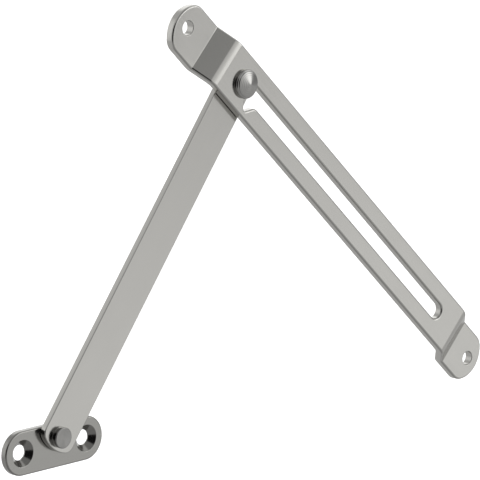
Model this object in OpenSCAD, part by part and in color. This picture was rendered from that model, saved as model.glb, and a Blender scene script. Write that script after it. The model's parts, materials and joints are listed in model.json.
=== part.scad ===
// Friction stay hinge: a slotted rail with two stepped screw tabs, and a flat arm carried by a stud
// that slides in the rail's slot, with a two-hole base plate riveted to the arm's lower end.
// Millimetres, +Z up. The mounting plane is y = 0, and the stay stands in front of it, towards -Y.
// The origin is the centre of the rail's upper screw hole, on the mounting plane.

/* [Rail] */
// Thickness of the rail's stock
rail_t = 2.9; // [2.5:0.1:3]
// Width of the rail
rail_w = 17.4; // [16.5:0.1:19]
// Lean of the rail away from upright, in degrees
rail_lean = 46.1; // [30:0.1:60]
// Distance between the centres of the rail's two screw holes
hole_pitch = 189.4; // [188:0.1:220]
// Distance from each screw hole to the tab's free end
tab_end = 5.8; // [5:0.1:7]
// Height of each tab's rounded end
tab_crown = 6.8; // [6.6:0.1:7.2]
// Radius of each tab's shoulders
tab_shoulder_r = 5.4; // [4.5:0.1:5.5]
// Diameter of the rail's screw holes
tab_hole_d = 4.8; // [4:0.1:5.4]
// Distance from each screw hole to the start of the bend
fold_start = 10; // [8:0.1:10]
// Step of each tab back from the rail's main face
joggle = 5.1; // [5:0.1:5.4]
// Slope of the step, in degrees
ramp_angle = 35; // [33:1:42]
// Radius of the bend next to each tab, along the middle of the stock
fold_r = 2; // [1.8:0.1:2.5]
// Radius of the bend next to the rail's main face, along the middle of the stock
shoulder_r = 5; // [4:0.1:5.2]

/* [Slot] */
// Width of the slot
slot_w = 5.5; // [5:0.1:5.8]
// Distance from the upper screw hole to the stud at rest, at the upper end of the slot
stud_drop = 28.6; // [28:0.1:30]
// Travel of the stud from one end of the slot to the other
slot_travel = 130; // [120:1:130]
// Distance along the slot from the stud at rest to the corner of the hold-open notch
notch_drop = 6; // [5.5:0.1:7]
// Distance from the slot's middle line to the corner of the notch
notch_reach = 7; // [6:0.1:7.2]
// Slope of the notch's upper wall, in degrees
notch_upper = 36; // [30:1:45]
// Slope of the notch's lower wall, in degrees
notch_lower = 40; // [35:1:50]
// Radius in the corner of the notch
notch_r = 1; // [0.8:0.1:1.6]
// Radius of the lip between the notch and the slot
lip_r = 3; // [1:0.1:3.5]

/* [Arm] */
// Thickness of the arm's stock
arm_t = 2.2; // [1.8:0.1:2.3]
// Width of the arm
arm_w = 14; // [12:0.1:15]
// Distance between the stud and the lower pivot
arm_length = 130.5; // [126:0.5:131]
// Distance from each pivot to the end of the arm
arm_end = 4.4; // [4:0.1:7]
// Height of the arm's rounded ends
arm_crown = 4.3; // [4.2:0.1:4.8]
// Radius of the arm's shoulders
arm_shoulder_r = 3.5; // [3:0.1:3.8]
// Lean of the arm away from upright, in degrees
arm_lean = 37.5; // [30:0.5:45]

/* [Base plate] */
// Thickness of the base plate
plate_t = 2.3; // [2.2:0.1:2.4]
// Height of the base plate
plate_h = 14.4; // [13:0.1:16]
// Distance between the base plate's screw holes
plate_pitch = 27; // [26:0.5:30]
// Diameter of the base plate's screw holes
plate_hole_d = 5; // [4.5:0.1:5.2]
// Diameter of the countersinks at the plate's face
countersink_d = 8.8; // [8.4:0.1:9]
// Distance from the plate's centreline up to the pivot
pivot_rise = 3.3; // [2.5:0.1:3.5]

/* [Stud and rivet] */
// Diameter of the stud's head
head_d = 9.7; // [9:0.1:11]
// Diameter of the pivot rivet's head
rivet_head_d = 6.8; // [6:0.1:8]
// Diameter of both shanks
shank_d = 4; // [3.6:0.1:4.2]

/* [Hidden] */
$fn = 96;

running_gap = 0.05;      // radial clearance of each shank in its bore
face_gap = 0.02;         // clearance between faces that rub
slide_gap = 0.3;         // gap between the rail and the arm, filled by the slide washer
cut = 1;                 // overshoot of every cutting tool

// Distances in front of the mounting plane
rail_back = joggle;
rail_front = joggle + rail_t;
arm_front = rail_back - slide_gap;
arm_back = arm_front - arm_t;
plate_front = plate_t;

// Stepped profile of the rail: a bend, a straight ramp and the opposite bend at each end
bends_r = fold_r + shoulder_r;
ramp_length = (joggle - bends_r * (1 - cos(ramp_angle))) / sin(ramp_angle);
step_run = bends_r * sin(ramp_angle) + ramp_length * cos(ramp_angle);
bend_steps = 6;
arc_steps = 8;

stud_x = stud_drop * sin(rail_lean);
stud_z = -stud_drop * cos(rail_lean);
pivot_x = stud_x - arm_length * sin(arm_lean);
pivot_z = stud_z - arm_length * cos(arm_lean);

bush_wall_gap = 0.08;    // clearance of the bush in the slot, each side
bush_d = slot_w - 2 * bush_wall_gap;
head_flange = 1.2;       // height of the stud head's rim
head_step_d = 6.8;       // diameter of the step under the dome
head_step = 0.6;
head_dome = 0.95;
head_tip_d = 0.6;
slide_washer_d = 8.6;
tail_washer_t = 0.5;
tail_washer_d = 8;
tail_t = 0.9;
tail_d = 6.2;
rivet_head = 1.8;        // height of the rivet's head above the arm
rivet_rim = 0.25;        // chamfer round the rivet's face
dish_r = 9;              // radius of the shallow dish in the rivet's face
dish_d = 0.18;
spacer_d = 8;
clench_d = 6;            // countersink behind the plate that holds the rivet's tail
clench_depth = 1;
clench_lip = 0.2;
countersink_depth = (countersink_d - plate_hole_d) / 2;

function dir(a) = [cos(a), sin(a)];

// Points of a strip's rounded end, from the right edge round to the left: a small shoulder arc,
// one broad arc of radius crown_r across the end, and the other shoulder
function crown_points(width, end, crown, shoulder_r, steps = 8) =
    let (
        inset = width / 2 - shoulder_r,
        excess = crown - shoulder_r,
        drop = (inset * inset - excess * excess) / (2 * excess),
        crown_r = crown + drop,
        meet = atan2(drop, inset),
        spread = 180 - 2 * meet)
    concat(
        [for (i = [0:steps]) [inset, end - crown] + shoulder_r * dir(meet * i / steps)],
        [for (i = [1:steps - 1]) [0, end - crown_r] + crown_r * dir(meet + spread * i / steps)],
        [for (i = [0:steps]) [-inset, end - crown] + shoulder_r * dir(180 - meet * (1 - i / steps))]);

// Outline of a strip with both ends rounded: its upper datum is at 0 and its lower one at -length
module strip_outline(width, length, end, crown, shoulder_r) {
    upper = crown_points(width, end, crown, shoulder_r);
    polygon(concat(upper, [for (p = upper) [-p[0], -length - p[1]]]));
}

// Middle line of the upper step, as [height, distance in front of the mounting plane, heading]
function step_line(top, near) = concat(
    [for (i = [0:bend_steps]) let (a = ramp_angle * i / bend_steps)
        [top - fold_r * sin(a), near + fold_r * (1 - cos(a)), a]],
    [for (i = [bend_steps:-1:0]) let (a = ramp_angle * i / bend_steps)
        [top - step_run + shoulder_r * sin(a), near + joggle - shoulder_r * (1 - cos(a)), a]]);

// Places a flat outline drawn in X and Z at a distance in front of the mounting plane
module slab(back, thickness) {
    translate([0, -back, 0]) rotate([90, 0, 0]) linear_extrude(thickness) children();
}

// A turned disc whose axis runs along Y
module disc(d, back, thickness, d_front = 0) {
    front = d_front > 0 ? d_front : d;
    translate([0, -back, 0]) rotate([90, 0, 0]) cylinder(h = thickness, d1 = d, d2 = front);
}

module on_rail() {
    rotate([0, -rail_lean, 0]) children();
}

module at_stud() {
    translate([stud_x, 0, stud_z]) children();
}

module at_pivot() {
    translate([pivot_x, 0, pivot_z]) children();
}

// Side view of the bent strip, extruded across its width
module bent_strip() {
    upper = step_line(-fold_start, rail_t / 2);
    lower = [for (i = [len(upper) - 1:-1:0])
        [-hole_pitch - upper[i][0], upper[i][1], -upper[i][2]]];
    line = concat([[tab_end + cut, rail_t / 2, 0]], upper, lower,
                  [[-hole_pitch - tab_end - cut, rail_t / 2, 0]]);
    front = [for (p = line) [-p[1] - cos(p[2]) * rail_t / 2, p[0] + sin(p[2]) * rail_t / 2]];
    back = [for (i = [len(line) - 1:-1:0]) let (p = line[i])
        [-p[1] + cos(p[2]) * rail_t / 2, p[0] - sin(p[2]) * rail_t / 2]];
    translate([-rail_w / 2 - cut, 0, 0]) rotate([90, 0, 90])
        linear_extrude(rail_w + 2 * cut) polygon(concat(front, back));
}

// Outline of the hook-shaped notch in the slot's left side, from its top to the foot of its lip:
// the upper wall, a rounded corner, the lower wall and a rounded lip
function notch_points() =
    let (
        corner = [-notch_reach, -notch_drop],
        depth = notch_reach - slot_w / 2,
        half_angle = (notch_upper + notch_lower) / 2,
        middle = corner + dir(notch_upper - half_angle) * notch_r / sin(half_angle),
        lip = [-slot_w / 2 - lip_r,
               -notch_drop - depth * tan(notch_lower) - lip_r * tan(45 - notch_lower / 2)])
    concat(
        [[-slot_w / 2, -notch_drop + depth * tan(notch_upper)]],
        [for (i = [0:arc_steps])
            middle + notch_r * dir(90 + notch_upper + (180 - 2 * half_angle) * i / arc_steps)],
        [for (i = [0:arc_steps]) lip + lip_r * dir((90 - notch_lower) * (1 - i / arc_steps))]);

module slot() {
    polygon(concat(
        [[slot_w / 2, -slot_travel], [slot_w / 2, 0], [-slot_w / 2, 0]],
        notch_points(),
        [[-slot_w / 2, -slot_travel]]));
    for (y = [0, -slot_travel]) translate([0, y]) circle(d = slot_w);
}

module slotted_rail() {
    color([0.69, 0.69, 0.66]) on_rail() difference() {
        intersection() {
            bent_strip();
            slab(-cut, rail_front + 2 * cut)
                strip_outline(rail_w, hole_pitch, tab_end, tab_crown, tab_shoulder_r);
        }
        translate([0, 0, -stud_drop]) slab(-cut, rail_front + 2 * cut) slot();
        for (z = [0, -hole_pitch]) translate([0, 0, z]) disc(tab_hole_d, -cut, rail_front + 2 * cut);
    }
}

// Sleeve that turns on the stud and bears on the slot's walls
module slide_bush() {
    color([0.2, 0.2, 0.21]) at_stud() difference() {
        disc(bush_d, rail_back + face_gap, rail_t - 2 * face_gap);
        disc(shank_d + 2 * running_gap, 0, rail_front + cut);
    }
}

// Friction washer between the rail's back and the arm's face
module slide_washer() {
    color([0.2, 0.2, 0.21]) at_stud() difference() {
        disc(slide_washer_d, arm_front + face_gap, slide_gap - 2 * face_gap);
        disc(shank_d + 2 * running_gap, 0, rail_front);
    }
}

module stay_arm() {
    color([0.69, 0.69, 0.66]) difference() {
        at_stud() rotate([0, arm_lean, 0]) slab(arm_back, arm_t)
            strip_outline(arm_w, arm_length, arm_end, arm_crown, arm_shoulder_r);
        at_stud() disc(shank_d + 2 * face_gap, 0, rail_front);
        at_pivot() disc(shank_d + 2 * running_gap, 0, rail_front);
    }
}

// Turned stud: a rimmed, domed head, a shank through the slot and a tail clenched behind the arm
module slide_stud() {
    under_head = rail_front + running_gap;
    step_front = under_head + head_flange + head_step;
    tail_back = arm_back - tail_washer_t - tail_t;
    color([0.62, 0.62, 0.6]) at_stud() {
        disc(tail_d - tail_t, tail_back, tail_t / 2, tail_d);
        disc(tail_d, tail_back + tail_t / 2, tail_t / 2 - face_gap);
        disc(shank_d, tail_back, under_head + face_gap - tail_back);
        disc(head_d, under_head, head_flange);
        disc(head_d, under_head + head_flange, head_step, head_step_d);
        disc(head_step_d, step_front, head_dome, head_tip_d);
    }
}

// Plain washer that the stud's tail is clenched over
module stud_tail_washer() {
    color([0.62, 0.62, 0.6]) at_stud() difference() {
        disc(tail_washer_d, arm_back - tail_washer_t, tail_washer_t - face_gap);
        disc(shank_d + 2 * face_gap, 0, rail_front);
    }
}

module base_plate() {
    color([0.66, 0.66, 0.63]) at_pivot() difference() {
        translate([0, 0, -pivot_rise]) difference() {
            slab(0, plate_t) {
                square([plate_pitch, plate_h], center = true);
                for (x = [-1, 1]) translate([x * plate_pitch / 2, 0]) circle(d = plate_h);
            }
            for (x = [-1, 1]) translate([x * plate_pitch / 2, 0, 0]) {
                disc(plate_hole_d, -cut, plate_t + 2 * cut);
                disc(plate_hole_d, plate_t - countersink_depth, countersink_depth, countersink_d);
                disc(countersink_d, plate_t, cut);
            }
        }
        disc(shank_d + 2 * face_gap, -cut, plate_t + 2 * cut);
        disc(clench_d + 2 * face_gap, -cut, cut + clench_lip);
        disc(clench_d + 2 * face_gap, clench_lip, clench_depth - clench_lip, shank_d + 2 * face_gap);
    }
}

// Turned rivet: a dished flat head, a shank and a tail clenched into the plate's back
module pivot_rivet() {
    head_back = arm_front + face_gap;
    head_front = head_back + rivet_head;
    color([0.62, 0.62, 0.6]) at_pivot() difference() {
        union() {
            disc(clench_d, 0, clench_lip);
            disc(clench_d, clench_lip, clench_depth - clench_lip - face_gap, shank_d);
            disc(shank_d, 0, head_back + rivet_rim);
            disc(rivet_head_d, head_back, rivet_head - rivet_rim);
            disc(rivet_head_d, head_front - rivet_rim, rivet_rim, rivet_head_d - 2 * rivet_rim);
        }
        translate([0, -head_front - dish_r + dish_d, 0]) sphere(r = dish_r);
    }
}

// Friction washer between the arm and the base plate
module pivot_spacer() {
    color([0.2, 0.2, 0.21]) at_pivot() difference() {
        disc(spacer_d, plate_front + face_gap, arm_back - plate_front - 2 * face_gap);
        disc(shank_d + 2 * face_gap, 0, rail_front);
    }
}

slotted_rail();
slide_bush();
slide_washer();
stay_arm();
slide_stud();
stud_tail_washer();
base_plate();
pivot_rivet();
pivot_spacer();
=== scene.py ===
import json
import math

import bmesh
import bpy
from bpy.props import FloatProperty, FloatVectorProperty, IntProperty, PointerProperty
from mathutils import Matrix, Vector


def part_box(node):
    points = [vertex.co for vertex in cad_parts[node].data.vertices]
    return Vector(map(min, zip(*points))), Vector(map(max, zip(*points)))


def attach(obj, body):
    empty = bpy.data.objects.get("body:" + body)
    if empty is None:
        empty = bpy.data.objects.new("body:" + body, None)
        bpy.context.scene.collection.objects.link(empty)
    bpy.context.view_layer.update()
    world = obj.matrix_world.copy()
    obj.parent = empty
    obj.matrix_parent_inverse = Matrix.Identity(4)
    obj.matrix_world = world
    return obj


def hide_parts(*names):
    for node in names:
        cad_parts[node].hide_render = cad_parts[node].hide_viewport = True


bl_info = {
    "name": "Friction stay hinge",
    "version": (1, 0, 0),
    "blender": (4, 5, 0),
    "location": "View3D > Sidebar > Stay hinge",
    "description": "Models a slotted friction stay with its arm, base plate, stud and rivet",
    "category": "Object",
}

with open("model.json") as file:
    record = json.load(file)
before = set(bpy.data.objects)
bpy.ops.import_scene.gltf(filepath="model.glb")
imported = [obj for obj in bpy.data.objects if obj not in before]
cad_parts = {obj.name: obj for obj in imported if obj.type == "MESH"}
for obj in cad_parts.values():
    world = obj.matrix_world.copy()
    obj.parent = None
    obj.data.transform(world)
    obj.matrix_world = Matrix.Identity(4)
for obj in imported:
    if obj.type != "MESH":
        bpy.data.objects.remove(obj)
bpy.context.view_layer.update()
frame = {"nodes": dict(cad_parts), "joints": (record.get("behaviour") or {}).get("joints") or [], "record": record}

JOINTS = {joint["name"]: joint for joint in frame["joints"]}
MOUNTS = {mount["name"]: mount for mount in frame["record"]["mounts"]}
STUD = Vector(JOINTS["arm_swing"]["pos_m"])
PIVOT = Vector(JOINTS["plate_pivot"]["pos_m"])
RAIL_DOWN = Vector(JOINTS["stud_slide"]["axis"])
RAIL_LEAN = math.atan2(RAIL_DOWN.x, -RAIL_DOWN.z)
ARM_LEAN = math.atan2(STUD.x - PIVOT.x, STUD.z - PIVOT.z)
ARM_LENGTH = (STUD - PIVOT).length
HOLE_PITCH = Vector(MOUNTS["lower_tab_hole"]["pos_m"]).length
SLOT_TRAVEL = JOINTS["stud_slide"]["range_m"][1]
PLATE_CENTRE = Vector(MOUNTS["plate_screw_holes"]["pos_m"])
PLATE_PITCH = MOUNTS["plate_screw_holes"]["dims"]["spacing_x_mm"] / 1000
PLATE_HOLE_R = MOUNTS["plate_screw_holes"]["dims"]["hole_r_mm"] / 1000
TAB_HOLE_R = MOUNTS["upper_tab_hole"]["dims"]["r_mm"] / 1000
RAIL_STOCK = MOUNTS["upper_tab_hole"]["dims"]["length_mm"] / 1000

RAIL_FRONT = -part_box("slotted_rail")[0].y
RAIL_BACK = RAIL_FRONT - RAIL_STOCK
ARM_FRONT = -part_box("stay_arm")[0].y
ARM_BACK = -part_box("stay_arm")[1].y
PLATE_FRONT = -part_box("base_plate")[0].y

OVERSHOOT = 0.001     # how far a cutter reaches past the faces it cuts
MERGE = 1e-6          # points closer than this are one
RUB_GAP = 0.00002     # clearance between pieces that rub or are clenched together
HEAD_GAP = 0.00005    # clearance under the stud's head and round the shank in its bush
TURNED_SMOOTH = 40.0  # turned pieces are smooth up to this edge angle, in degrees


def length(name, description, default):
    """A size property in metres."""
    return FloatProperty(name=name, description=description, default=default, min=0.0,
                         precision=5, subtype="DISTANCE", unit="LENGTH")


def angle(name, description, degrees):
    """An angle property, given in degrees and kept in radians."""
    return FloatProperty(name=name, description=description, default=math.radians(degrees),
                         subtype="ANGLE", unit="ROTATION")


def colour(name, description, rgb):
    """A linear colour property."""
    return FloatVectorProperty(name=name, description=description, default=rgb, size=3,
                               min=0.0, max=1.0, subtype="COLOR")


def amount(name, description, default):
    """A plain factor property."""
    return FloatProperty(name=name, description=description, default=default, min=0.0, max=1.0)


class StayRailSettings(bpy.types.PropertyGroup):
    """Sizes of the slotted rail"""
    width: length("Width", "Width of the rail", 0.0174)
    tab_end: length("Tab end", "From a screw hole to the tab's free end", 0.0058)
    tab_crown: length("Tab crown", "Height of each rounded tab end", 0.0068)
    tab_shoulder: length("Tab shoulder", "Radius of each tab's shoulders", 0.0054)
    fold_start: length("Fold start", "From a screw hole to the start of the bend", 0.0100)
    ramp_angle: angle("Ramp angle", "Slope of the step between tab and rail", 35.0)
    fold_radius: length("Fold radius", "Bend next to each tab, along the middle of the stock", 0.0020)
    shoulder_radius: length("Shoulder radius", "Bend next to the rail's main face", 0.0050)
    stud_drop: length("Slot start", "From the upper screw hole to the slot's upper end centre", 0.0286)
    slot_width: length("Slot width", "Width of the slot", 0.0055)
    notch_drop: length("Notch drop", "Along the slot to the notch's corner", 0.0060)
    notch_reach: length("Notch reach", "From the slot's middle line to the notch's corner", 0.0070)
    notch_upper: angle("Notch upper wall", "Slope of the notch's upper wall", 36.0)
    notch_lower: angle("Notch lower wall", "Slope of the notch's lower wall", 40.0)
    notch_radius: length("Notch radius", "Radius in the notch's corner", 0.0010)
    lip_radius: length("Lip radius", "Radius of the lip between notch and slot", 0.0030)
    edge_round: length("Edge rounding", "Radius of the rolled front edges", 0.00075)
    back_round: length("Back rounding", "Radius of the back edges", 0.0002)
    hole_round: length("Hole rounding", "Radius round the screw holes", 0.00025)


class StayArmSettings(bpy.types.PropertyGroup):
    """Sizes of the arm"""
    width: length("Width", "Width of the arm", 0.014)
    end: length("End", "From each pivot to the end of the arm", 0.0044)
    crown: length("Crown", "Height of the rounded ends", 0.0043)
    shoulder: length("Shoulder", "Radius of the shoulders", 0.0035)
    edge_round: length("Edge rounding", "Radius of the front edges", 0.00035)
    back_round: length("Back rounding", "Radius of the back edges", 0.0002)
    bore: length("Bore", "Radius of both pivot holes", 0.00205)


class StayPlateSettings(bpy.types.PropertyGroup):
    """Sizes of the base plate"""
    height: length("Height", "Height of the plate", 0.0144)
    countersink: length("Countersink", "Radius of each countersink at the face", 0.0044)
    edge_round: length("Edge rounding", "Radius of the front edges", 0.0006)
    back_round: length("Back rounding", "Radius of the back edges", 0.0002)
    rim_round: length("Rim rounding", "Radius round each countersink's mouth", 0.0003)


class StayTurnedSettings(bpy.types.PropertyGroup):
    """Sizes of the stud, the rivet and the washers"""
    shank: length("Shank", "Radius of both shanks", 0.0020)
    stud_head: length("Stud head", "Radius of the stud's head", 0.00485)
    stud_rim: length("Stud rim", "Height of the stud head's rim", 0.00095)
    stud_step: length("Stud step", "Height of the terraced ring above the rim", 0.00065)
    stud_ring: length("Stud ring", "Radius of the cone's foot", 0.00405)
    stud_cone: length("Stud cone", "Height of the blunt cone", 0.00115)
    tail_head: length("Tail", "Radius of the stud's clenched tail", 0.0031)
    tail_rim: length("Tail rim", "Height of the tail's straight rim", 0.0003)
    tail_end: length("Tail end", "Radius of the tail's far end", 0.0022)
    tail_reach: length("Tail reach", "From the arm's back to the tail's far end", 0.0014)
    washer_rim: length("Washer rim", "Radius of the washer under the tail", 0.0040)
    washer_thickness: length("Washer thickness", "Thickness of that washer", 0.0005)
    rivet_head: length("Rivet head", "Radius of the rivet's head", 0.0034)
    rivet_height: length("Rivet height", "Height of the rivet's head above the arm", 0.0018)
    rivet_dish: length("Rivet dish", "Depth of the dish in the rivet's face", 0.00006)
    clench_head: length("Clench", "Radius of the rivet's tail in the plate's back", 0.0030)
    clench_rim: length("Clench rim", "Depth of the tail's straight rim", 0.0002)
    clench_depth: length("Clench depth", "Depth of the whole clenched tail", 0.00098)
    segments: IntProperty(name="Segments", description="Steps round every turned piece",
                          default=96, min=24, max=256)


class StayFinishSettings(bpy.types.PropertyGroup):
    """Colours and surface of the plating and the nylon"""
    nickel: colour("Nickel", "Colour of the satin plating", (0.495, 0.4885, 0.465))
    nickel_worn: colour("Rubbed nickel", "Plating where it is rubbed brighter", (0.56, 0.553, 0.527))
    turned: colour("Turned steel", "Colour of the turned pieces", (0.40, 0.396, 0.384))
    nylon: colour("Nylon", "Colour of the moulded washers", (0.035, 0.035, 0.038))
    roughness: amount("Roughness", "Mean roughness of the plating", 0.19)
    grain: amount("Grain", "Depth of the lengthwise grain", 0.35)


class StayStudioSettings(bpy.types.PropertyGroup):
    """Camera, floor and light"""
    view_turn: angle("View turn", "How far the camera stands round to the left", 45.27)
    view_height: angle("View height", "How far the camera looks down", 11.743)
    view_distance: length("View distance", "From the camera to the stud, along its axis", 1.265)
    aim_left: length("Aim left", "How far left of the stud the view is centred", 0.00162)
    aim_below: length("Aim below", "How far below the stud the view is centred", 0.05039)
    lens: FloatProperty(name="Lens", description="Focal length in millimetres on a 36 mm sensor",
                        default=294.1, min=10.0, max=600.0)
    floor_drop: length("Floor drop", "How far below the object the floor lies", 0.35)
    floor_radius: length("Floor radius", "Radius of the floor", 8.0)
    floor_light: FloatProperty(name="Floor light", description="Strength of the light on the floor",
                               default=3.0, min=0.0, max=20.0)
    floor: colour("Floor", "Colour of the floor", (0.9, 0.9, 0.9))


# --- Modelling helpers -------------------------------------------------------------------------

def object_mode():
    """Leaves edit mode and deselects everything."""
    if bpy.context.object and bpy.context.object.mode != "OBJECT":
        bpy.ops.object.mode_set(mode="OBJECT")
    bpy.ops.object.select_all(action="DESELECT")


def pick(piece, wanted, kind="edges"):
    """In edit mode, selects only the elements that wanted() accepts, and tells how many."""
    bpy.ops.mesh.select_mode(type={"verts": "VERT", "edges": "EDGE", "faces": "FACE"}[kind])
    bpy.ops.mesh.select_all(action="DESELECT")
    mesh = bmesh.from_edit_mesh(piece.data)
    found = 0
    for element in getattr(mesh, kind):
        if wanted(element):
            element.select_set(True)
            found += 1
    mesh.select_flush_mode()
    bmesh.update_edit_mesh(piece.data)
    return found


def new_point(name, x, y, z):
    """A new mesh with one selected point, in edit mode."""
    object_mode()
    bpy.ops.mesh.primitive_plane_add(size=0.001, location=(0, 0, 0))
    piece = bpy.context.object
    piece.name = name
    piece.data.name = name
    bpy.ops.object.mode_set(mode="EDIT")
    bpy.ops.mesh.select_mode(type="VERT")
    bpy.ops.mesh.select_all(action="SELECT")
    bpy.ops.mesh.merge(type="CENTER")
    bpy.ops.transform.translate(value=(x, y, z))
    return piece


def draw_line(start, end):
    """Extrudes the selected point from start to end, and gives end back."""
    step = Vector(end) - Vector(start)
    bpy.ops.mesh.extrude_region_move(TRANSFORM_OT_translate={"value": step})
    return end


def draw_arc(start, centre, turn, steps):
    """Spins the selected point round centre in the X and Z plane; turn is clockwise from the front."""
    bpy.ops.mesh.spin(steps=steps, angle=-turn, center=centre, axis=(0, 1, 0))
    offset = Matrix.Rotation(turn, 3, "Y") @ (Vector(start) - Vector(centre))
    return tuple(Vector(centre) + offset)


def close_outline():
    """Turns the drawn outline into one face."""
    bpy.ops.mesh.select_all(action="SELECT")
    bpy.ops.mesh.remove_doubles(threshold=MERGE)
    bpy.ops.mesh.edge_face_add()


def raise_slab(back, front):
    """Extrudes the drawn face, lying at -back, forwards to -front, into a closed solid."""
    bpy.ops.mesh.extrude_region_move(TRANSFORM_OT_translate={"value": (0, back - front, 0)})
    bpy.ops.mesh.select_all(action="SELECT")
    bpy.ops.mesh.normals_make_consistent(inside=False)
    bpy.ops.object.mode_set(mode="OBJECT")


def strip_slab(name, width, top, bottom, crown, shoulder, back, front):
    """A flat strip with both ends rounded: two small shoulder arcs and one broad arc across."""
    inset = width / 2 - shoulder
    excess = crown - shoulder
    drop = (inset ** 2 - excess ** 2) / (2 * excess)
    broad = crown + drop
    meet = math.atan2(drop, inset)
    y = -back
    piece = new_point(name, -width / 2, y, top - crown)
    at = (-width / 2, y, top - crown)
    at = draw_arc(at, (-inset, y, top - crown), meet, 10)
    at = draw_arc(at, (0, y, top - broad), math.pi - 2 * meet, 14)
    at = draw_arc(at, (inset, y, top - crown), meet, 10)
    at = draw_line(at, (width / 2, y, bottom + crown))
    at = draw_arc(at, (inset, y, bottom + crown), meet, 10)
    at = draw_arc(at, (0, y, bottom + broad), math.pi - 2 * meet, 14)
    at = draw_arc(at, (-inset, y, bottom + crown), meet, 10)
    draw_line(at, (-width / 2, y, top - crown))
    close_outline()
    raise_slab(back, front)
    return piece


def capsule_slab(name, x_low, x_high, z_low, z_high, radius, back, front, steps=32):
    """A slab with half-round ends, between two end centres that share X or Z."""
    along = Vector((x_high - x_low, 0, z_high - z_low)).normalized()
    side = Matrix.Rotation(math.pi / 2, 3, "Y") @ along
    low, high = Vector((x_low, -back, z_low)), Vector((x_high, -back, z_high))
    start = low - side * radius
    piece = new_point(name, *start)
    at = draw_line(start, tuple(high - side * radius))
    at = draw_arc(at, tuple(high), math.pi, steps)
    at = draw_line(at, tuple(low + side * radius))
    draw_arc(at, tuple(low), math.pi, steps)
    close_outline()
    raise_slab(back, front)
    return piece


def round_cutter(name, x, z, rings, segments=64):
    """A turned cutter along Y: rings lists its radius at each distance in front of the plane."""
    object_mode()
    bpy.ops.mesh.primitive_circle_add(vertices=segments, radius=rings[0][1], fill_type="NGON",
                                      location=(x, -rings[0][0], z), rotation=(math.pi / 2, 0, 0))
    cutter = bpy.context.object
    cutter.name = name
    bpy.ops.object.transform_apply(location=True, rotation=True, scale=True)
    bpy.ops.object.mode_set(mode="EDIT")
    bpy.ops.mesh.select_all(action="SELECT")
    for (near, small), (far, large) in zip(rings, rings[1:]):
        bpy.ops.mesh.extrude_region_move(TRANSFORM_OT_translate={"value": (0, near - far, 0)})
        if large != small:
            bpy.ops.transform.resize(value=(large / small, 1, large / small),
                                     center_override=(x, -far, z))
    bpy.ops.mesh.select_all(action="SELECT")
    bpy.ops.mesh.normals_make_consistent(inside=False)
    bpy.ops.object.mode_set(mode="OBJECT")
    return cutter


def hole_rings(radius, back, front, soft):
    """Rings of a cutter for a straight hole whose mouth in front is rounded by soft."""
    mouth = [(front - soft + soft * math.sin(a), radius + soft * (1 - math.cos(a)))
             for a in (math.radians(step * 15) for step in range(7))]
    return [(back - OVERSHOOT, radius)] + mouth + [(front + OVERSHOOT, radius + soft)]


def cut_away(piece, cutter):
    """Subtracts the cutter from the piece and removes the cutter."""
    object_mode()
    bpy.context.view_layer.objects.active = piece
    piece.select_set(True)
    cut = piece.modifiers.new("cut", "BOOLEAN")
    cut.operation = "DIFFERENCE"
    cut.solver = "EXACT"
    cut.object = cutter
    bpy.ops.object.modifier_apply(modifier=cut.name)
    bpy.data.objects.remove(cutter)


def tidy_flats(piece):
    """Merges doubled points and joins coplanar faces."""
    object_mode()
    bpy.context.view_layer.objects.active = piece
    piece.select_set(True)
    bpy.ops.object.mode_set(mode="EDIT")
    bpy.ops.mesh.select_all(action="SELECT")
    bpy.ops.mesh.remove_doubles(threshold=MERGE)
    bpy.ops.mesh.dissolve_limited(angle_limit=math.radians(0.1), delimit=set())
    bpy.ops.mesh.normals_make_consistent(inside=False)


def on_rim(facing):
    """Accepts edges between a face that looks along facing and a wall."""
    def wanted(edge):
        if len(edge.link_faces) != 2:
            return False
        normals = [face.normal.y * facing for face in edge.link_faces]
        return max(normals) > 0.99 and min(normals) < 0.75
    return wanted


def round_rim(piece, radius, segments, wanted):
    """Bevels the edges that wanted() accepts."""
    if pick(piece, wanted) == 0:
        raise RuntimeError(f"{piece.name}: no edge to round")
    bpy.ops.mesh.bevel(offset=radius, segments=segments, affect="EDGES", clamp_overlap=False,
                       loop_slide=False)


def place(piece, position, lean=0.0):
    """Turns the piece round Y, moves it, and leaves the place in its mesh."""
    object_mode()
    bpy.context.view_layer.objects.active = piece
    piece.select_set(True)
    piece.rotation_euler = (0, lean, 0)
    piece.location = position
    bpy.ops.object.transform_apply(location=True, rotation=True, scale=True)


def finish_piece(piece, node, body, material, smooth=32.0):
    """Smooths the piece, keeps its flats flat, and hands it to the frame."""
    object_mode()
    bpy.context.view_layer.objects.active = piece
    piece.select_set(True)
    bpy.ops.object.shade_smooth_by_angle(angle=math.radians(smooth))
    weights = piece.modifiers.new("flat faces", "WEIGHTED_NORMAL")
    weights.keep_sharp = True
    weights.weight = 100
    bpy.ops.object.modifier_apply(modifier=weights.name)
    piece.data.materials.clear()
    piece.data.materials.append(material)
    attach(piece, body)
    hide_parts(node)
    piece.select_set(False)


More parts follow.
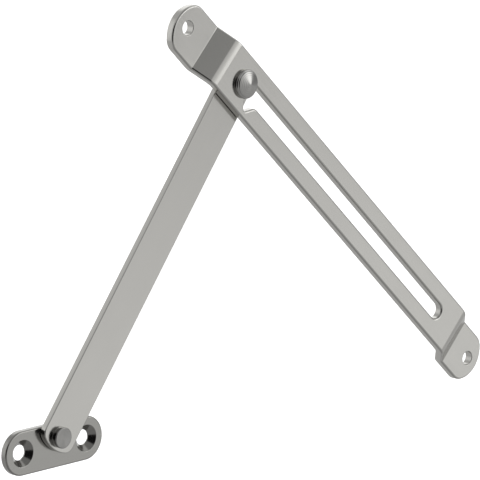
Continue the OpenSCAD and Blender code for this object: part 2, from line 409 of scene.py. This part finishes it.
def turned_piece(name, profile, centre, segments, rounded=()):
    """Spins a closed profile of (radius, distance in front) round the Y axis through centre.
    rounded lists (index, size, steps) for the corners to soften."""
    piece = new_point(name, profile[0][0], -profile[0][1], 0)
    at = (profile[0][0], -profile[0][1], 0)
    for radius, front in profile[1:]:
        at = draw_line(at, (radius, -front, 0))
    if profile[0][0] > 0:
        draw_line(at, (profile[0][0], -profile[0][1], 0))
        bpy.ops.mesh.select_all(action="SELECT")
        bpy.ops.mesh.remove_doubles(threshold=MERGE)
    for index, size, steps in rounded:
        corner = Vector((profile[index][0], -profile[index][1], 0))
        pick(piece, lambda point: (point.co - corner).length < MERGE * 5, "verts")
        bpy.ops.mesh.bevel(offset=size, segments=steps, affect="VERTICES", clamp_overlap=False)
    bpy.ops.mesh.select_all(action="SELECT")
    bpy.ops.mesh.spin(steps=segments, angle=2 * math.pi, center=(0, 0, 0), axis=(0, 1, 0))
    bpy.ops.mesh.select_all(action="SELECT")
    bpy.ops.mesh.remove_doubles(threshold=MERGE)
    bpy.ops.mesh.normals_make_consistent(inside=False)
    place(piece, centre)
    return piece


# --- Materials ---------------------------------------------------------------------------------

def group_socket(tree, name, side, kind="NodeSocketFloat", value=None):
    """Adds a named input or output to a node group."""
    socket = tree.interface.new_socket(name=name, in_out=side, socket_type=kind)
    if value is not None:
        socket.default_value = value


def calculated(nodes, links, operation, *values):
    """A Math node's result; each value is a number or another node's output."""
    node = nodes.new("ShaderNodeMath")
    node.operation = operation
    for socket, value in zip(node.inputs, values):
        if isinstance(value, bpy.types.NodeSocket):
            links.new(value, socket)
        else:
            socket.default_value = value
    return node.outputs[0]


def noise(nodes, links, position, scale, detail):
    """A noise pattern at a position."""
    node = nodes.new("ShaderNodeTexNoise")
    node.inputs["Scale"].default_value = scale
    node.inputs["Detail"].default_value = detail
    links.new(position, node.inputs["Vector"])
    return node.outputs["Fac"]


def bumped(nodes, links, shader, height, strength, distance):
    """Feeds a height into the shader's normal."""
    bump = nodes.new("ShaderNodeBump")
    bump.inputs["Strength"].default_value = strength
    bump.inputs["Distance"].default_value = distance
    links.new(height, bump.inputs["Height"])
    links.new(bump.outputs["Normal"], shader.inputs["Normal"])


def satin_grain_group():
    """Fine streaks along local Z, speckle, and slow cloudiness, from a position in metres."""
    tree = bpy.data.node_groups.get("satin grain")
    if tree:
        return tree
    tree = bpy.data.node_groups.new("satin grain", "ShaderNodeTree")
    group_socket(tree, "Position", "INPUT", "NodeSocketVector")
    group_socket(tree, "Streaks", "INPUT", value=1.0)
    group_socket(tree, "Speckle", "INPUT", value=1.0)
    group_socket(tree, "Grain", "OUTPUT")
    group_socket(tree, "Cloud", "OUTPUT")
    nodes, links = tree.nodes, tree.links
    inside = nodes.new("NodeGroupInput")
    outside = nodes.new("NodeGroupOutput")
    stretch = nodes.new("ShaderNodeVectorMath")
    stretch.operation = "MULTIPLY"
    stretch.inputs[1].default_value = (2600.0, 2600.0, 70.0)
    position = inside.outputs["Position"]
    links.new(position, stretch.inputs[0])
    streaks = calculated(nodes, links, "MULTIPLY", noise(nodes, links, stretch.outputs[0], 1.0, 3.0),
                         inside.outputs["Streaks"])
    speckle = calculated(nodes, links, "MULTIPLY", noise(nodes, links, position, 3800.0, 2.0),
                         inside.outputs["Speckle"])
    links.new(calculated(nodes, links, "ADD", streaks, speckle), outside.inputs["Grain"])
    links.new(noise(nodes, links, position, 90.0, 2.0), outside.inputs["Cloud"])
    return tree


def rubbed_edge_group():
    """A mask that is 1 on edges of the given radius, where plating is rubbed brighter."""
    tree = bpy.data.node_groups.get("rubbed edges")
    if tree:
        return tree
    tree = bpy.data.node_groups.new("rubbed edges", "ShaderNodeTree")
    group_socket(tree, "Radius", "INPUT", value=0.0004)
    group_socket(tree, "Strength", "INPUT", value=0.5)
    group_socket(tree, "Mask", "OUTPUT")
    nodes, links = tree.nodes, tree.links
    inside = nodes.new("NodeGroupInput")
    outside = nodes.new("NodeGroupOutput")
    bevel = nodes.new("ShaderNodeBevel")
    bevel.samples = 4
    geometry = nodes.new("ShaderNodeNewGeometry")
    dot = nodes.new("ShaderNodeVectorMath")
    dot.operation = "DOT_PRODUCT"
    edge = nodes.new("ShaderNodeMapRange")
    edge.inputs["From Min"].default_value = 0.985
    edge.inputs["From Max"].default_value = 0.90
    links.new(inside.outputs["Radius"], bevel.inputs["Radius"])
    links.new(bevel.outputs["Normal"], dot.inputs[0])
    links.new(geometry.outputs["Normal"], dot.inputs[1])
    links.new(dot.outputs["Value"], edge.inputs["Value"])
    links.new(calculated(nodes, links, "MULTIPLY", edge.outputs["Result"],
                         inside.outputs["Strength"]), outside.inputs["Mask"])
    return tree


def place_group(nodes, tree, **values):
    """Adds a node group to a material with its own values."""
    node = nodes.new("ShaderNodeGroup")
    node.node_tree = tree
    for name, value in values.items():
        node.inputs[name.replace("_", " ").title()].default_value = value
    return node


def mixed_colour(nodes, links, factor, first, second):
    """A colour that runs from first to second with factor."""
    mix = nodes.new("ShaderNodeMix")
    mix.data_type = "RGBA"
    mix.inputs[6].default_value = (*first, 1.0)
    mix.inputs[7].default_value = (*second, 1.0)
    links.new(factor, mix.inputs[0])
    return mix.outputs[2]


def scaled(nodes, links, value, low, high, from_low=0.0, from_high=1.0):
    """Maps a value from one range to another."""
    ramp = nodes.new("ShaderNodeMapRange")
    ramp.inputs["From Min"].default_value = from_low
    ramp.inputs["From Max"].default_value = from_high
    ramp.inputs["To Min"].default_value = low
    ramp.inputs["To Max"].default_value = high
    links.new(value, ramp.inputs["Value"])
    return ramp.outputs["Result"]


def satin_nickel(name, settings, lean, centre, shade=1.0):
    """Satin nickel plating, with its grain along a strip that leans by lean; shade scales its colour as painted
    brightening or painted shade for how light falls on the piece.
    """
    material = bpy.data.materials.new(name)
    material.use_nodes = True
    nodes, links = material.node_tree.nodes, material.node_tree.links
    shader = nodes["Principled BSDF"]
    shader.inputs["Metallic"].default_value = 1.0
    coords = nodes.new("ShaderNodeTexCoord")
    turn = nodes.new("ShaderNodeMapping")
    turn.vector_type = "TEXTURE"
    turn.inputs["Location"].default_value = centre
    turn.inputs["Rotation"].default_value = (0, lean, 0)
    grain = place_group(nodes, satin_grain_group(), streaks=0.6, speckle=0.4)
    edges = place_group(nodes, rubbed_edge_group(), radius=0.0005, strength=0.7)
    links.new(coords.outputs["Object"], turn.inputs["Vector"])
    links.new(turn.outputs["Vector"], grain.inputs["Position"])
    tone = calculated(nodes, links, "MULTIPLY_ADD", grain.outputs["Grain"], 0.35,
                      edges.outputs["Mask"])
    # painted light: shade makes this piece's plating lighter or darker to stand in for how light falls on it
    base = [c * shade for c in settings.nickel]
    worn = [c * shade for c in settings.nickel_worn]
    links.new(mixed_colour(nodes, links, tone, base, worn), shader.inputs["Base Color"])
    blur = calculated(nodes, links, "ADD",
                      scaled(nodes, links, grain.outputs["Grain"], settings.roughness - 0.05,
                             settings.roughness + 0.05, 0.3, 0.7),
                      scaled(nodes, links, grain.outputs["Cloud"], -0.02, 0.02, 0.3, 0.7))
    links.new(blur, shader.inputs["Roughness"])
    bumped(nodes, links, shader, grain.outputs["Grain"], settings.grain, 0.00001)
    return material


def turned_steel(name, settings, centre, pitch=0.00042, shade=1.0):
    """Satin plating over lathe work: fine rings, pitch apart, round the piece's own axis."""
    material = bpy.data.materials.new(name)
    material.use_nodes = True
    nodes, links = material.node_tree.nodes, material.node_tree.links
    shader = nodes["Principled BSDF"]
    shader.inputs["Metallic"].default_value = 1.0
    coords = nodes.new("ShaderNodeTexCoord")
    middle = nodes.new("ShaderNodeMapping")
    middle.vector_type = "TEXTURE"
    middle.inputs["Location"].default_value = centre
    rings = nodes.new("ShaderNodeTexWave")
    rings.wave_type = "RINGS"
    rings.rings_direction = "Y"
    rings.inputs["Scale"].default_value = math.pi / 10 / pitch
    rings.inputs["Distortion"].default_value = 0.35
    rings.inputs["Detail"].default_value = 1.0
    grain = place_group(nodes, satin_grain_group(), streaks=0.0, speckle=1.0)
    edges = place_group(nodes, rubbed_edge_group(), radius=0.0003, strength=0.6)
    links.new(coords.outputs["Object"], middle.inputs["Vector"])
    links.new(middle.outputs["Vector"], rings.inputs["Vector"])
    links.new(middle.outputs["Vector"], grain.inputs["Position"])
    tone = calculated(nodes, links, "MULTIPLY_ADD", rings.outputs["Fac"], 0.3,
                      edges.outputs["Mask"])
    base = [c * shade for c in settings.turned]
    worn = [c * shade for c in settings.nickel_worn]
    links.new(mixed_colour(nodes, links, tone, base, worn), shader.inputs["Base Color"])
    blur = calculated(nodes, links, "ADD",
                      scaled(nodes, links, rings.outputs["Fac"], settings.roughness - 0.08,
                             settings.roughness - 0.02),
                      scaled(nodes, links, grain.outputs["Grain"], -0.02, 0.02, 0.3, 0.7))
    links.new(blur, shader.inputs["Roughness"])
    bumped(nodes, links, shader, rings.outputs["Fac"], 0.6, 0.00003)
    return material


def moulded_nylon(name, settings):
    """Matte moulded nylon with a fine even texture."""
    material = bpy.data.materials.new(name)
    material.use_nodes = True
    nodes, links = material.node_tree.nodes, material.node_tree.links
    shader = nodes["Principled BSDF"]
    shader.inputs["Metallic"].default_value = 0.0
    coords = nodes.new("ShaderNodeTexCoord")
    grain = place_group(nodes, satin_grain_group(), streaks=0.0, speckle=1.0)
    links.new(coords.outputs["Object"], grain.inputs["Position"])
    lighter = [c * 1.8 + 0.01 for c in settings.nylon]
    links.new(mixed_colour(nodes, links, grain.outputs["Cloud"], settings.nylon, lighter),
              shader.inputs["Base Color"])
    links.new(scaled(nodes, links, grain.outputs["Grain"], 0.45, 0.62, 0.3, 0.7),
              shader.inputs["Roughness"])
    bumped(nodes, links, shader, grain.outputs["Grain"], 0.4, 0.00002)
    return material


# --- Bending the rail --------------------------------------------------------------------------

BEND_STEPS = 7


def step_sizes(sizes):
    """Straight ramp length, run of the step, and how much longer the flat blank is than its run."""
    fold, shoulder, slope = sizes.fold_radius, sizes.shoulder_radius, sizes.ramp_angle
    ramp = (RAIL_BACK - (fold + shoulder) * (1 - math.cos(slope))) / math.sin(slope)
    run = (fold + shoulder) * math.sin(slope) + ramp * math.cos(slope)
    chords = 2 * BEND_STEPS * (fold + shoulder) * math.tan(slope / BEND_STEPS / 2)
    return ramp, run, chords + ramp - run


def bend_lines(sizes, side, start):
    """Each bend line as (place along the blank, centre Y, centre Z, turn), from the rail outwards.
    side is 1 for the upper end and -1 for the lower one; start is where the flat rail ends."""
    ramp, _, _ = step_sizes(sizes)
    small = sizes.ramp_angle / BEND_STEPS
    shoulder = 2 * sizes.shoulder_radius * math.tan(small / 2)
    fold = 2 * sizes.fold_radius * math.tan(small / 2)
    along, y, z, heading = start, -(RAIL_FRONT - RAIL_STOCK / 2), start, 0.0
    lines = []
    for turn, chord, first_gap in ((small, shoulder, shoulder / 2),
                                   (-small, fold, shoulder / 2 + ramp + fold / 2)):
        for step in range(BEND_STEPS):
            gap = first_gap if step == 0 else chord
            along += side * gap
            y += gap * math.sin(heading)
            z += side * gap * math.cos(heading)
            lines.append((along, y, z, turn * side))
            heading += turn
    return lines


def fold_tab(piece, sizes, side, start):
    """Folds one end of the flat blank back to the mounting plane, a small turn at each bend line."""
    lines = bend_lines(sizes, side, start)
    bpy.ops.mesh.select_mode(type="VERT")
    for along, _, _, _ in lines:
        bpy.ops.mesh.select_all(action="SELECT")
        bpy.ops.mesh.bisect(plane_co=(0, 0, along), plane_no=(0, 0, 1), threshold=MERGE / 10)
    mesh = bmesh.from_edit_mesh(piece.data)
    flat_z = [point.co.z for point in mesh.verts]
    for along, y, z, turn in lines:
        beyond = [side * (place_z - along) for place_z in flat_z]
        pick(piece, lambda point: beyond[point.index] > MERGE, "verts")
        bpy.ops.transform.rotate(value=turn, orient_axis="X", center_override=(0, y, z))
        pick(piece, lambda point: abs(beyond[point.index]) <= MERGE, "verts")
        bpy.ops.transform.rotate(value=turn / 2, orient_axis="X", center_override=(0, y, z))


# --- Operators ---------------------------------------------------------------------------------

class STAY_OT_slotted_rail(bpy.types.Operator):
    """Cuts the rail's blank with its slot, notch and holes, rounds its edges and folds both tabs"""
    bl_idname = "stay.slotted_rail"
    bl_label = "Slotted rail"

    def execute(self, context):
        sizes, finish = context.scene.stay_rail, context.scene.stay_finish
        _, run, extra = step_sizes(sizes)
        back, front = RAIL_BACK, RAIL_FRONT
        upper_hole, lower_hole = extra, -HOLE_PITCH - extra
        rail = strip_slab("rail_strip", sizes.width, upper_hole + sizes.tab_end,
                          lower_hole - sizes.tab_end, sizes.tab_crown, sizes.tab_shoulder, back, front)
        slot_top = -sizes.stud_drop
        cut_away(rail, capsule_slab("slot_cutter", 0, 0, slot_top - SLOT_TRAVEL, slot_top,
                                    sizes.slot_width / 2, back - OVERSHOOT, front + OVERSHOOT))
        cut_away(rail, self.notch_cutter(sizes, slot_top, back - OVERSHOOT, front + OVERSHOOT))
        tidy_flats(rail)
        round_rim(rail, sizes.edge_round, 5, on_rim(-1))
        round_rim(rail, sizes.back_round, 2, on_rim(1))
        for z in (upper_hole, lower_hole):
            cut_away(rail, round_cutter("hole_cutter", 0, z,
                                        hole_rings(TAB_HOLE_R, back, front, sizes.hole_round)))
        tidy_flats(rail)
        fold_tab(rail, sizes, 1, -sizes.fold_start - run)
        fold_tab(rail, sizes, -1, -HOLE_PITCH + sizes.fold_start + run)
        place(rail, (0, 0, 0), -RAIL_LEAN)
        # shade 1.14 is a painted brightening of the rail's plating, standing in for the light falling on it
        finish_piece(rail, "slotted_rail", "rail",
                     satin_nickel("rail satin nickel", finish, -RAIL_LEAN, (0, 0, 0), shade=1.14))
        return {"FINISHED"}

    @staticmethod
    def notch_cutter(sizes, slot_top, back, front):
        """The hook-shaped notch, with its inner corner rounded and a rounded lip below it."""
        reach, upper, lower = sizes.notch_reach, sizes.notch_upper, sizes.notch_lower
        y, edge, lip = -back, -sizes.slot_width / 2, sizes.lip_radius
        corner_z = slot_top - sizes.notch_drop
        lip_z = (corner_z - (reach + edge) * math.tan(lower)
                 - lip * math.tan(math.pi / 4 - lower / 2))
        centre = (edge - lip, y, lip_z)
        inside = (0, y, lip_z)
        corner = (-reach, y, corner_z)
        top = (0, y, corner_z + reach * math.tan(upper))
        cutter = new_point("notch_cutter", *inside)
        at = draw_line(inside, (edge, y, lip_z))
        at = draw_arc(at, centre, lower - math.pi / 2, 12)
        at = draw_line(at, corner)
        at = draw_line(at, top)
        draw_line(at, inside)
        bpy.ops.mesh.select_all(action="SELECT")
        bpy.ops.mesh.remove_doubles(threshold=MERGE)
        pick(cutter, lambda point: point.co.x < -reach * 0.98, "verts")
        bpy.ops.mesh.bevel(offset=sizes.notch_radius / math.tan((upper + lower) / 2), segments=10,
                           affect="VERTICES", clamp_overlap=False)
        close_outline()
        raise_slab(back, front)
        return cutter


class STAY_OT_arm(bpy.types.Operator):
    """Cuts the flat arm with its rounded ends and two bores, and rounds its edges"""
    bl_idname = "stay.arm"
    bl_label = "Arm"

    def execute(self, context):
        sizes, finish = context.scene.stay_arm, context.scene.stay_finish
        arm = strip_slab("arm_strip", sizes.width, sizes.end, -ARM_LENGTH - sizes.end,
                         sizes.crown, sizes.shoulder, ARM_BACK, ARM_FRONT)
        tidy_flats(arm)
        round_rim(arm, sizes.edge_round, 4, on_rim(-1))
        round_rim(arm, sizes.back_round, 2, on_rim(1))
        for z in (0, -ARM_LENGTH):
            cut_away(arm, round_cutter("bore_cutter", 0, z, [(ARM_BACK - OVERSHOOT, sizes.bore),
                                                             (ARM_FRONT + OVERSHOOT, sizes.bore)]))
        tidy_flats(arm)
        place(arm, (STUD.x, 0, STUD.z), ARM_LEAN)
        # shade 1.05 is a painted brightening of the arm's plating, standing in for the light falling on it
        finish_piece(arm, "stay_arm", "arm",
                     satin_nickel("arm satin nickel", finish, ARM_LEAN, (STUD.x, 0, STUD.z),
                                  shade=1.05))
        return {"FINISHED"}


class STAY_OT_base_plate(bpy.types.Operator):
    """Cuts the base plate with its countersunk holes and rounds its edges"""
    bl_idname = "stay.base_plate"
    bl_label = "Base plate"

    def execute(self, context):
        sizes, turned = context.scene.stay_plate, context.scene.stay_turned
        finish = context.scene.stay_finish
        half = PLATE_PITCH / 2
        plate = capsule_slab("plate_blank", -half, half, 0, 0, sizes.height / 2, 0, PLATE_FRONT, 40)
        tidy_flats(plate)
        round_rim(plate, sizes.edge_round, 5, on_rim(-1))
        round_rim(plate, sizes.back_round, 2, on_rim(1))
        for x in (-half, half):
            cut_away(plate, round_cutter("screw_cutter", x, 0, self.countersink_rings(sizes), 96))
        rise = PIVOT.z - PLATE_CENTRE.z
        bore, recess = turned.shank + RUB_GAP, turned.clench_head + 2 * RUB_GAP
        cut_away(plate, round_cutter("clench_cutter", 0, rise, [
            (-OVERSHOOT, recess), (turned.clench_rim, recess),
            (turned.clench_depth + RUB_GAP, bore), (PLATE_FRONT + OVERSHOOT, bore)]))
        tidy_flats(plate)
        place(plate, (PLATE_CENTRE.x, 0, PLATE_CENTRE.z))
        # shade 0.69 is painted shade on the plate's plating, standing in for less light falling on it
        finish_piece(plate, "base_plate", "plate",
                     satin_nickel("plate satin nickel", finish, math.pi / 2,
                                  (PLATE_CENTRE.x, 0, PLATE_CENTRE.z), shade=0.69))
        return {"FINISHED"}

    @staticmethod
    def countersink_rings(sizes):
        """Rings of the screw hole's cutter: straight bore, 45 degree cone and a rounded mouth."""
        soft, half_turn = sizes.rim_round, math.pi / 8
        mouth = sizes.countersink + soft * math.tan(half_turn)
        arc = [(PLATE_FRONT - soft + soft * math.cos(a), mouth - soft * math.sin(a))
               for a in (2 * half_turn, half_turn * 1.5, half_turn, half_turn * 0.5, 0)]
        depth = sizes.countersink - PLATE_HOLE_R
        return [(-OVERSHOOT, PLATE_HOLE_R), (PLATE_FRONT - depth, PLATE_HOLE_R), *arc,
                (PLATE_FRONT + OVERSHOOT, mouth)]


class STAY_OT_turned_pieces(bpy.types.Operator):
    """Turns the stud and its tail washer, and the rivet"""
    bl_idname = "stay.turned_pieces"
    bl_label = "Stud and rivet"

    def execute(self, context):
        sizes, finish = context.scene.stay_turned, context.scene.stay_finish
        self.stud(sizes, finish)
        self.rivet(sizes, finish)
        self.tail_washer(sizes, finish)
        return {"FINISHED"}

    @staticmethod
    def stud(sizes, finish):
        """Head with a rim, a terraced ring and a blunt cone, then the shank and clenched tail."""
        under = RAIL_FRONT + HEAD_GAP
        rim = under + sizes.stud_rim
        ring = rim + sizes.stud_step
        foot, cone = sizes.stud_ring, sizes.stud_cone
        drop = sizes.stud_step * 0.43
        tail_front = ARM_BACK - sizes.washer_thickness - RUB_GAP
        tail_back = ARM_BACK - sizes.tail_reach
        profile = [
            (0, ring + cone), (foot * 0.06, ring + cone * 0.96), (foot * 0.5, ring + cone * 0.52),
            (foot, ring), (foot + drop, ring - drop), (foot + drop * 1.5, ring - drop * 1.1),
            (sizes.stud_head, rim), (sizes.stud_head, under),
            (sizes.shank, under), (sizes.shank, tail_front), (sizes.tail_head, tail_front),
            (sizes.tail_head, tail_front - sizes.tail_rim), (sizes.tail_end, tail_back),
            (0, tail_back)]
        stud = turned_piece("stud_turned", profile, (STUD.x, 0, STUD.z), sizes.segments,
                            [(3, 0.00008, 2), (5, 0.00004, 2), (6, 0.0002, 4), (7, 0.00012, 2),
                             (12, 0.0003, 3)])
        finish_piece(stud, "slide_stud", "arm",
                     turned_steel("stud turned steel", finish, (STUD.x, 0, STUD.z), pitch=0.00062),
                     TURNED_SMOOTH)

    @staticmethod
    def rivet(sizes, finish):
        """Flat dished head, shank and the tail clenched into the plate's back."""
        back = ARM_FRONT + RUB_GAP
        head, dish, face = sizes.rivet_head, sizes.rivet_dish, back + sizes.rivet_height
        profile = [
            (0, face - dish), (head * 0.30, face - dish * 0.90), (head * 0.58, face - dish * 0.55),
            (head * 0.82, face), (head, face), (head, back), (sizes.shank, back),
            (sizes.shank, sizes.clench_depth), (sizes.clench_head, sizes.clench_rim),
            (sizes.clench_head, 0), (0, 0)]
        rivet = turned_piece("rivet_turned", profile, (PIVOT.x, 0, PIVOT.z), sizes.segments,
                             [(3, 0.0003, 3), (4, 0.00028, 4), (5, 0.0001, 2)])
        finish_piece(rivet, "pivot_rivet", "plate",
                     turned_steel("rivet turned steel", finish, (PIVOT.x, 0, PIVOT.z), shade=0.74),
                     TURNED_SMOOTH)

    @staticmethod
    def tail_washer(sizes, finish):
        """Plain washer under the stud's tail."""
        bore, rim = sizes.shank + RUB_GAP, sizes.washer_rim
        back, front = ARM_BACK - sizes.washer_thickness, ARM_BACK - RUB_GAP
        outline = [(bore, back), (rim, back), (rim, front), (bore, front)]
        washer = turned_piece("tail_washer_ring", outline, (STUD.x, 0, STUD.z), sizes.segments,
                              [(1, 0.00015, 3), (2, 0.00008, 2)])
        finish_piece(washer, "stud_tail_washer", "arm",
                     turned_steel("tail washer steel", finish, (STUD.x, 0, STUD.z)), TURNED_SMOOTH)


class STAY_OT_nylon_rings(bpy.types.Operator):
    """Turns the bush in the slot and the two friction washers"""
    bl_idname = "stay.nylon_rings"
    bl_label = "Bush and friction washers"

    def execute(self, context):
        sizes, finish = context.scene.stay_turned, context.scene.stay_finish
        nylon = moulded_nylon("dark nylon", finish)
        rings = [
            ("bush_ring", "slide_bush", "slider", STUD, 0.0001),
            ("slide_washer_ring", "slide_washer", "slider", STUD, 0.00005),
            ("spacer_ring", "pivot_spacer", "plate", PIVOT, 0.00005)]
        for name, node, body, centre, soft in rings:
            low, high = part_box(node)
            rim = (high.x - low.x) / 2
            back, front = -high.y, -low.y
            bore = sizes.shank + (RUB_GAP if node == "pivot_spacer" else HEAD_GAP)
            outline = [(bore, back), (rim, back), (rim, front), (bore, front)]
            ring = turned_piece(name, outline, (centre.x, 0, centre.z), sizes.segments,
                                [(1, soft, 2), (2, soft, 2)])
            finish_piece(ring, node, body, nylon, TURNED_SMOOTH)
        return {"FINISHED"}


# Brightness of the studio dome between its panels
STUDIO_BASE = 0.54
# Each panel: how far round to the right of straight in front and how far up it stands, the
# radii of its even middle and of its faded edge, all in degrees, and its brightness
STUDIO_PANELS = [
    ("floor shade", 60, -90, 22, 48, 0.34),
    ("front top shade", -8, 50, 25, 38, 0.31),
    ("left back panel", -150, 12, 14, 34, 0.90),
    ("right back panel", 135, 25, 16, 36, 1.30),
    ("right rim panel", 118, 10, 10, 24, 1.10),
    ("right edge shade", 82, 2, 8, 20, 0.30),
    ("right top panel", 62, 42, 8, 26, 0.75),
    ("bend panel", 7, 20, 4, 17, 0.72),
    ("front panel", 33, 6, 5, 28, 0.93),
    ("upper key panel", 33, 14, 6, 15, 1.35),
    ("key panel", 45, 11, 8, 18, 2.10),
    ("face panel", 45, -13, 8, 18, 0.91),
    ("face panel gap", 44, -3, 3, 10, 0.56),
    ("left floor shade", -50, -40, 20, 45, 0.32),
    ("front left flag", -48, 9, 28, 36, 0.01),
]


class STAY_OT_studio(bpy.types.Operator):
    """Lays the floor, lights the scene and sets up the camera"""
    bl_idname = "stay.studio"
    bl_label = "Floor, light and camera"

    def execute(self, context):
        studio = context.scene.stay_studio
        self.floor(studio)
        self.light(context.scene)
        self.camera(context.scene, studio)
        context.scene.view_settings.view_transform = "Standard"
        return {"FINISHED"}

    @staticmethod
    def floor(studio):
        """A plain pale floor below the object."""
        object_mode()
        low = min(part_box(node)[0].z for node in frame["nodes"])
        bpy.ops.mesh.primitive_circle_add(vertices=128, radius=studio.floor_radius,
                                          fill_type="NGON", location=(0, 0, low - studio.floor_drop))
        floor = bpy.context.object
        floor.name = "studio_floor"
        bpy.ops.object.transform_apply(location=True, rotation=True, scale=True)
        material = bpy.data.materials.new("pale floor")
        material.use_nodes = True
        shader = material.node_tree.nodes["Principled BSDF"]
        shader.inputs["Base Color"].default_value = (*studio.floor, 1.0)
        shader.inputs["Roughness"].default_value = 0.9
        floor.data.materials.append(material)
        floor.visible_glossy = False
        floor.select_set(False)
        bpy.ops.object.light_add(type="SUN", location=(0, 0, 1))
        lamp = bpy.context.object
        lamp.name = "floor_light"
        lamp.data.energy = studio.floor_light
        lamp.data.angle = math.radians(40)
        lamp.visible_glossy = False

    @staticmethod
    def light(scene):
        """A studio dome of soft bright and dark panels, which the metal mirrors; it looks white."""
        world = bpy.data.worlds.new("soft studio")
        scene.world = world
        world.use_nodes = True
        nodes, links = world.node_tree.nodes, world.node_tree.links
        background = nodes["Background"]
        coords = nodes.new("ShaderNodeTexCoord")
        level = nodes.new("ShaderNodeValue")
        level.outputs[0].default_value = STUDIO_BASE
        current = level.outputs[0]
        for _, turn, height, core, fade, radiance in STUDIO_PANELS:
            turn, height = math.radians(turn), math.radians(height)
            aim = Vector((math.sin(turn) * math.cos(height), -math.cos(turn) * math.cos(height),
                          math.sin(height)))
            dot = nodes.new("ShaderNodeVectorMath")
            dot.operation = "DOT_PRODUCT"
            dot.inputs[1].default_value = aim
            links.new(coords.outputs["Generated"], dot.inputs[0])
            mask = nodes.new("ShaderNodeMapRange")
            mask.interpolation_type = "SMOOTHSTEP"
            mask.inputs["From Min"].default_value = math.cos(math.radians(fade))
            mask.inputs["From Max"].default_value = math.cos(math.radians(core))
            links.new(dot.outputs["Value"], mask.inputs["Value"])
            blend = nodes.new("ShaderNodeMix")
            blend.inputs[3].default_value = radiance
            links.new(mask.outputs["Result"], blend.inputs[0])
            links.new(current, blend.inputs[2])
            current = blend.outputs[0]
        path = nodes.new("ShaderNodeLightPath")
        seen = nodes.new("ShaderNodeMix")
        seen.inputs[3].default_value = 1.0
        links.new(path.outputs["Is Camera Ray"], seen.inputs[0])
        links.new(current, seen.inputs[2])
        links.new(seen.outputs[0], background.inputs["Strength"])
        background.inputs["Color"].default_value = (1.0, 1.0, 1.0, 1.0)

    @staticmethod
    def camera(scene, studio):
        """A long lens standing to the left and a little above, centred below the stud."""
        turn, down = studio.view_turn, studio.view_height
        right = Vector((math.cos(turn), -math.sin(turn), 0))
        up = Vector((math.sin(turn) * math.sin(down), math.cos(turn) * math.sin(down), math.cos(down)))
        ahead = Vector((math.sin(turn) * math.cos(down), math.cos(turn) * math.cos(down),
                        -math.sin(down)))
        stud_front = Vector((STUD.x, -RAIL_FRONT, STUD.z))
        position = (stud_front - ahead * studio.view_distance - right * studio.aim_left
                    - up * studio.aim_below)
        object_mode()
        bpy.ops.object.camera_add(location=position)
        camera = bpy.context.object
        camera.name = "studio_camera"
        camera.rotation_euler = Matrix((right, up, -ahead)).transposed().to_euler()
        camera.data.lens = studio.lens
        camera.data.sensor_width = 36.0
        camera.data.clip_start = 0.05
        camera.data.clip_end = 50.0
        scene.camera = camera


class STAY_PT_panel(bpy.types.Panel):
    """Lists the stay hinge's pieces and sizes"""
    bl_idname = "STAY_PT_panel"
    bl_label = "Friction stay hinge"
    bl_space_type = "VIEW_3D"
    bl_region_type = "UI"
    bl_category = "Stay hinge"

    def draw(self, context):
        layout = self.layout
        for operator in STEPS:
            layout.operator(operator.bl_idname)
        for name in SETTINGS:
            box = layout.box()
            group = getattr(context.scene, name)
            for key in group.__annotations__:
                box.prop(group, key)


STEPS = (STAY_OT_slotted_rail, STAY_OT_arm, STAY_OT_base_plate, STAY_OT_turned_pieces,
         STAY_OT_nylon_rings, STAY_OT_studio)
SETTINGS = {
    "stay_rail": StayRailSettings,
    "stay_arm": StayArmSettings,
    "stay_plate": StayPlateSettings,
    "stay_turned": StayTurnedSettings,
    "stay_finish": StayFinishSettings,
    "stay_studio": StayStudioSettings,
}


def register():
    for group in SETTINGS.values():
        bpy.utils.register_class(group)
    for name, group in SETTINGS.items():
        setattr(bpy.types.Scene, name, PointerProperty(type=group))
    for operator in STEPS:
        bpy.utils.register_class(operator)
    bpy.utils.register_class(STAY_PT_panel)


def unregister():
    bpy.utils.unregister_class(STAY_PT_panel)
    for operator in reversed(STEPS):
        bpy.utils.unregister_class(operator)
    for name, group in SETTINGS.items():
        delattr(bpy.types.Scene, name)
        bpy.utils.unregister_class(group)


def main():
    """Builds every piece and the stage."""
    register()
    bpy.ops.stay.slotted_rail()
    bpy.ops.stay.arm()
    bpy.ops.stay.base_plate()
    bpy.ops.stay.turned_pieces()
    bpy.ops.stay.nylon_rings()
    bpy.ops.stay.studio()
    bpy.context.view_layer.update()


if __name__ == "__main__":
    main()
